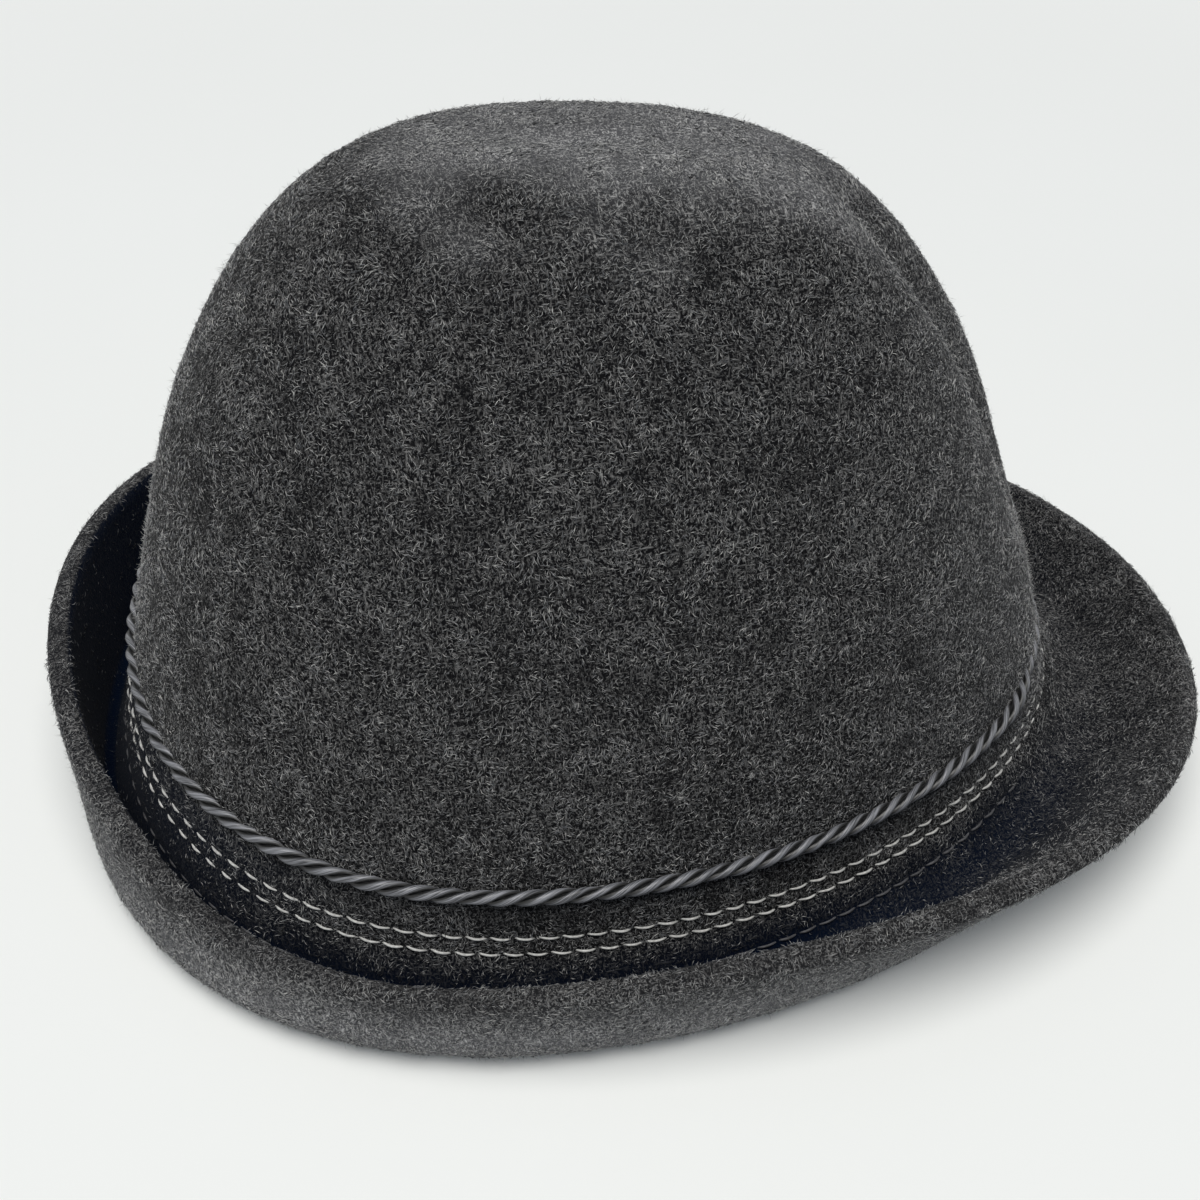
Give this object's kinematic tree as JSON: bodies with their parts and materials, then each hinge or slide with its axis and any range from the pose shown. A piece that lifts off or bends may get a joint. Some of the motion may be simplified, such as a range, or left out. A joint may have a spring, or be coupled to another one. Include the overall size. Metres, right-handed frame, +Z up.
{
  "type": "felt hat",
  "caption": "Alpine felt hat: a creased crown with a narrow brim turned up all round, a cord round the band, rows of top stitching and a leather sweatband inside.",
  "frame": {"origin": "on the table under the middle of the brim's box", "axes": "+X to the hat's front, +Y to the wearer's left, +Z up out of the crown's tip"},
  "size_m": [0.259, 0.2052, 0.1362],
  "materials": {
    "wool_felt": "charcoal melange wool felt with a short nap",
    "satin_cord": "twisted satin cord, dark grey",
    "dark_thread": "dark grey sewing thread",
    "pale_thread": "pale grey top-stitching thread",
    "sweatband_leather": "smooth black leather",
    "reed_cover": "black covered reed",
    "seam_tape": "black woven tape"
  },
  "bodies": {
    "root": {"felt_body": "wool_felt", "hat_cord": "satin_cord", "cord_tack": "dark_thread", "top_stitch_upper": "pale_thread", "top_stitch_lower": "pale_thread", "sweatband_stitch": "dark_thread", "sweatband": "sweatband_leather", "sweatband_reed": "reed_cover", "sweatband_seam_tape": "seam_tape"}
  },
  "joints": []
}
